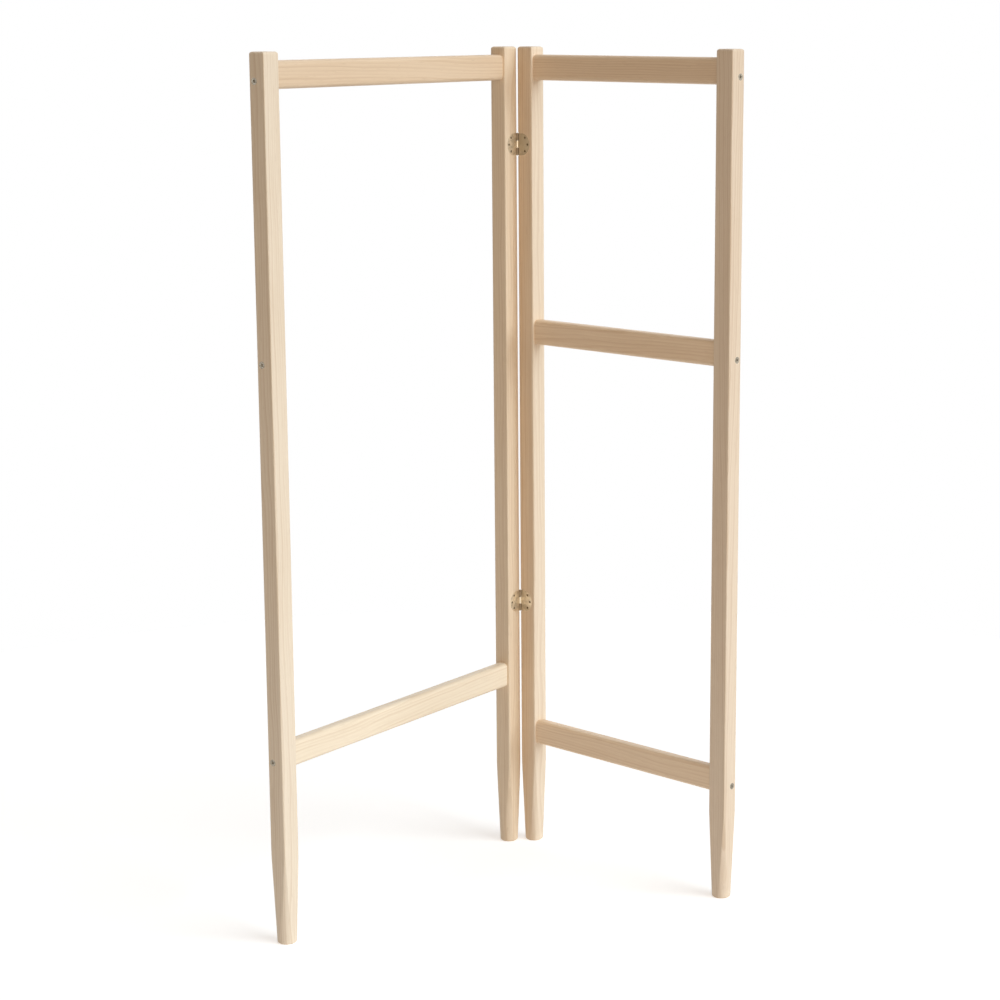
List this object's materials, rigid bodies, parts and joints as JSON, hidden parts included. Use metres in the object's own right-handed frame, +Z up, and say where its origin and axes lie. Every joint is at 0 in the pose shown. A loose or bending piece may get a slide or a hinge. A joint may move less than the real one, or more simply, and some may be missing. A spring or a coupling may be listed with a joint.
{
  "type": "folding clothes rack",
  "caption": "Folding clothes rack: a wide and a narrow post-and-rail panel of pale wood on turned feet, joined by brass hinges so that they stand at an angle or fold face to face.",
  "frame": {"origin": "middle of the standing rack's bounding box, on the floor", "axes": "+Z up; the wide panel stands along X with its front face towards -Y; the narrow panel runs from the hinges towards -Y, 83 degrees from the wide panel"},
  "size_m": [0.5722, 0.4306, 1.22],
  "materials": {
    "post_wood": "pale ash, planed and sealed with a dull clear finish, grain along the post",
    "rail_wood": "pale ash, planed and sealed with a dull clear finish, grain along the rail",
    "dowel_wood": "plain beech",
    "hinge_brass": "brass, lightly tarnished",
    "pin_brass": "brass, worn bright at the ends",
    "leaf_screw_brass": "dark, aged brass",
    "rail_screw_steel": "zinc plated steel, dull grey"
  },
  "bodies": {
    "wide_panel": {"wide_outer_post": "post_wood", "wide_hinge_post": "post_wood", "wide_top_rail": "rail_wood", "wide_bottom_rail": "rail_wood", "wide_top_rail_screws": "rail_screw_steel", "wide_bottom_rail_screws": "rail_screw_steel", "wide_spare_screw": "rail_screw_steel", "wide_top_rail_dowels": "dowel_wood", "wide_bottom_rail_dowels": "dowel_wood", "upper_hinge_wide_leaf": "hinge_brass", "upper_hinge_pin": "pin_brass", "upper_hinge_wide_screws": "leaf_screw_brass", "lower_hinge_wide_leaf": "hinge_brass", "lower_hinge_pin": "pin_brass", "lower_hinge_wide_screws": "leaf_screw_brass"},
    "narrow_panel": {"narrow_outer_post": "post_wood", "narrow_hinge_post": "post_wood", "narrow_top_rail": "rail_wood", "narrow_middle_rail": "rail_wood", "narrow_bottom_rail": "rail_wood", "narrow_top_rail_screws": "rail_screw_steel", "narrow_middle_rail_screws": "rail_screw_steel", "narrow_bottom_rail_screws": "rail_screw_steel", "narrow_top_rail_dowels": "dowel_wood", "narrow_middle_rail_dowels": "dowel_wood", "narrow_bottom_rail_dowels": "dowel_wood", "upper_hinge_narrow_leaf": "hinge_brass", "upper_hinge_narrow_screws": "leaf_screw_brass", "lower_hinge_narrow_leaf": "hinge_brass", "lower_hinge_narrow_screws": "leaf_screw_brass"}
  },
  "joints": [
    {"name": "panel_fold", "type": "hinge", "parent": "wide_panel", "child": "narrow_panel", "pos_m": [0.26023, 0.18898, 0], "axis": [0, 0, 1], "range_deg": [-83, 97]}
  ]
}
